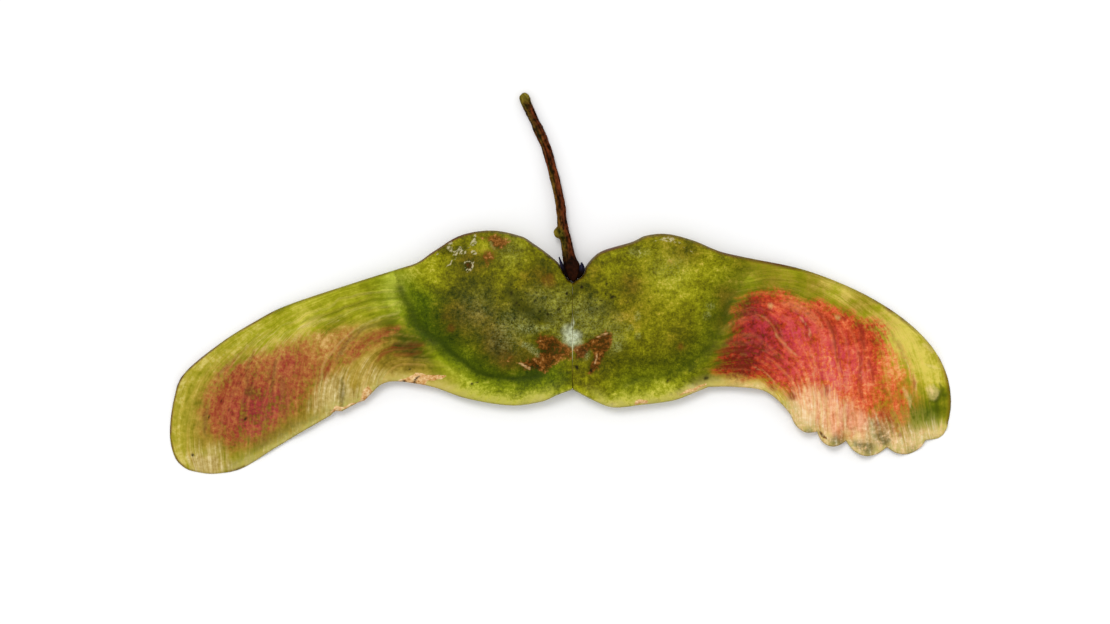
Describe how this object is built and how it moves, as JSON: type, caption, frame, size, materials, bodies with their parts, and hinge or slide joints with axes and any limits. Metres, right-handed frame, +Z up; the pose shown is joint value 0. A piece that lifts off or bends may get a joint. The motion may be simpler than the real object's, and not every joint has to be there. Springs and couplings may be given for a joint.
{
  "type": "maple samara",
  "caption": "Winged maple fruit: flattened nutlets with veined, papery wings spread wide from a central seam, and a short curved stalk. It lies flat.",
  "frame": {"origin": "middle of the fruit's bounding box in plan, on the surface it lies on", "axes": "+X along the span of the wings, towards the frilled wing; +Y towards the free end of the stalk; +Z up, out of the fruit's flat face"},
  "size_m": [0.0782, 0.038, 0.003],
  "materials": {
    "samara_left": "satin",
    "samara_right": "satin",
    "stalk": "matte",
    "column": "matte",
    "sepal": "matte"
  },
  "bodies": {
    "root": {"samara_left": "samara_left", "samara_right": "samara_right", "stalk": "stalk", "column": "column", "sepal_left": "sepal", "sepal_right": "sepal"}
  },
  "joints": []
}
